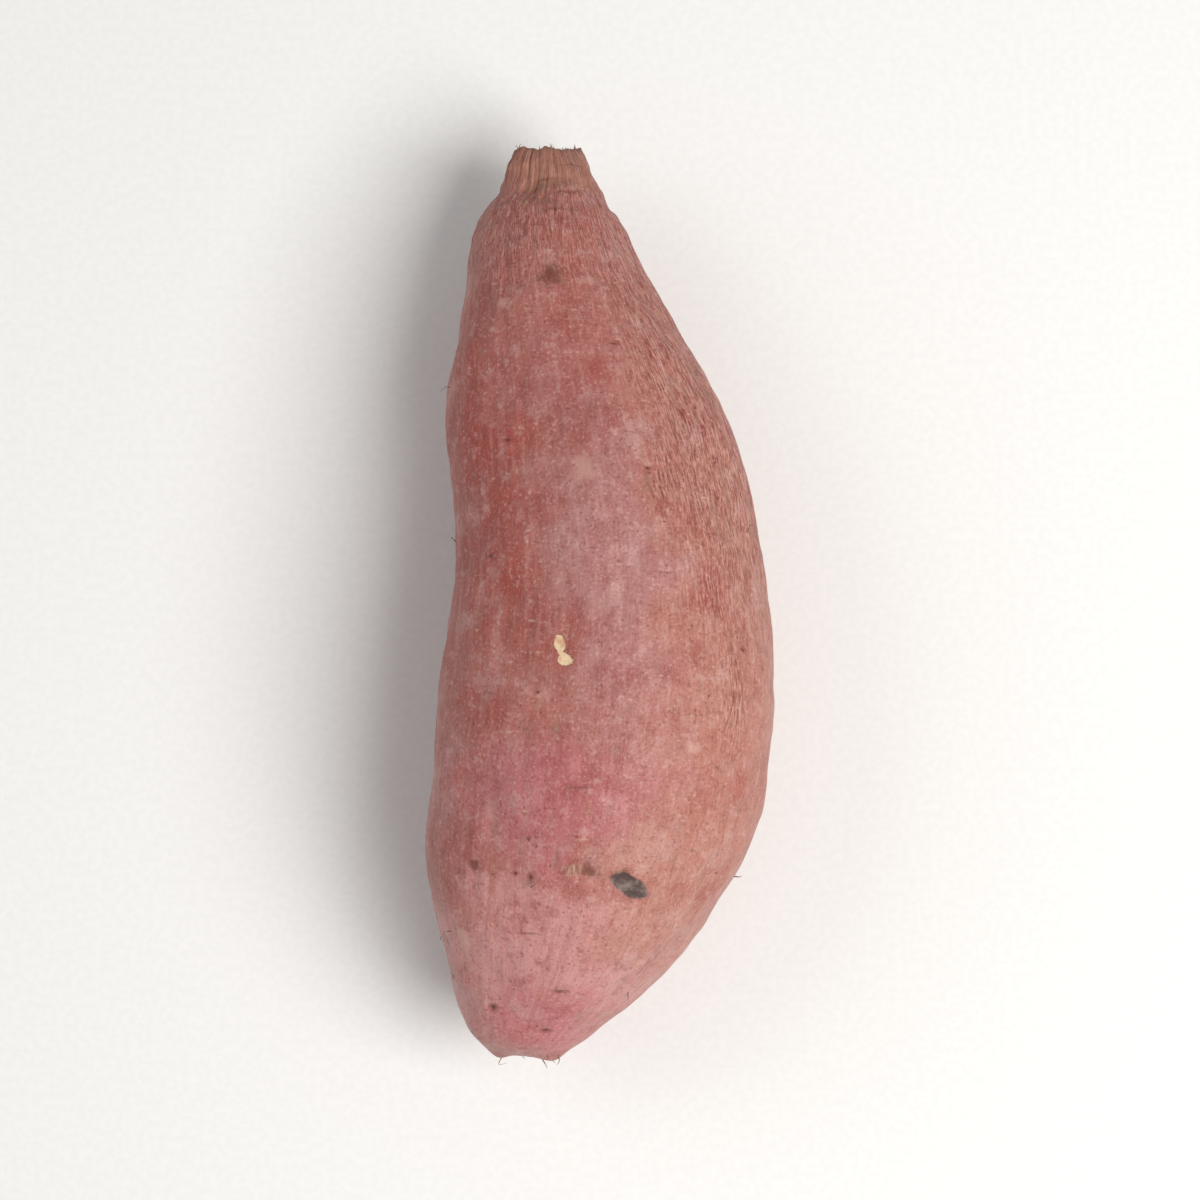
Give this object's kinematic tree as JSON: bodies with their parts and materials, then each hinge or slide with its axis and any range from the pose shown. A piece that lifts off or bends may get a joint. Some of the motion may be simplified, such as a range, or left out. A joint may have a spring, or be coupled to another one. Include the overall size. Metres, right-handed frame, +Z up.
{
  "type": "sweet potato",
  "caption": "Whole raw sweet potato lying on its side: a rose-skinned, slightly bent storage root with a cut stem end and a blunt rooty tail.",
  "frame": {"origin": "on the surface that the root lies on, under the middle of its bounding box", "axes": "+Y along the root towards the cut stem end, +Z up off the surface that it lies on, +X across it towards its bulging side"},
  "size_m": [0.067, 0.18, 0.0605],
  "materials": {
    "skin": null
  },
  "bodies": {
    "root": {"sweet_potato": "skin"}
  },
  "joints": []
}
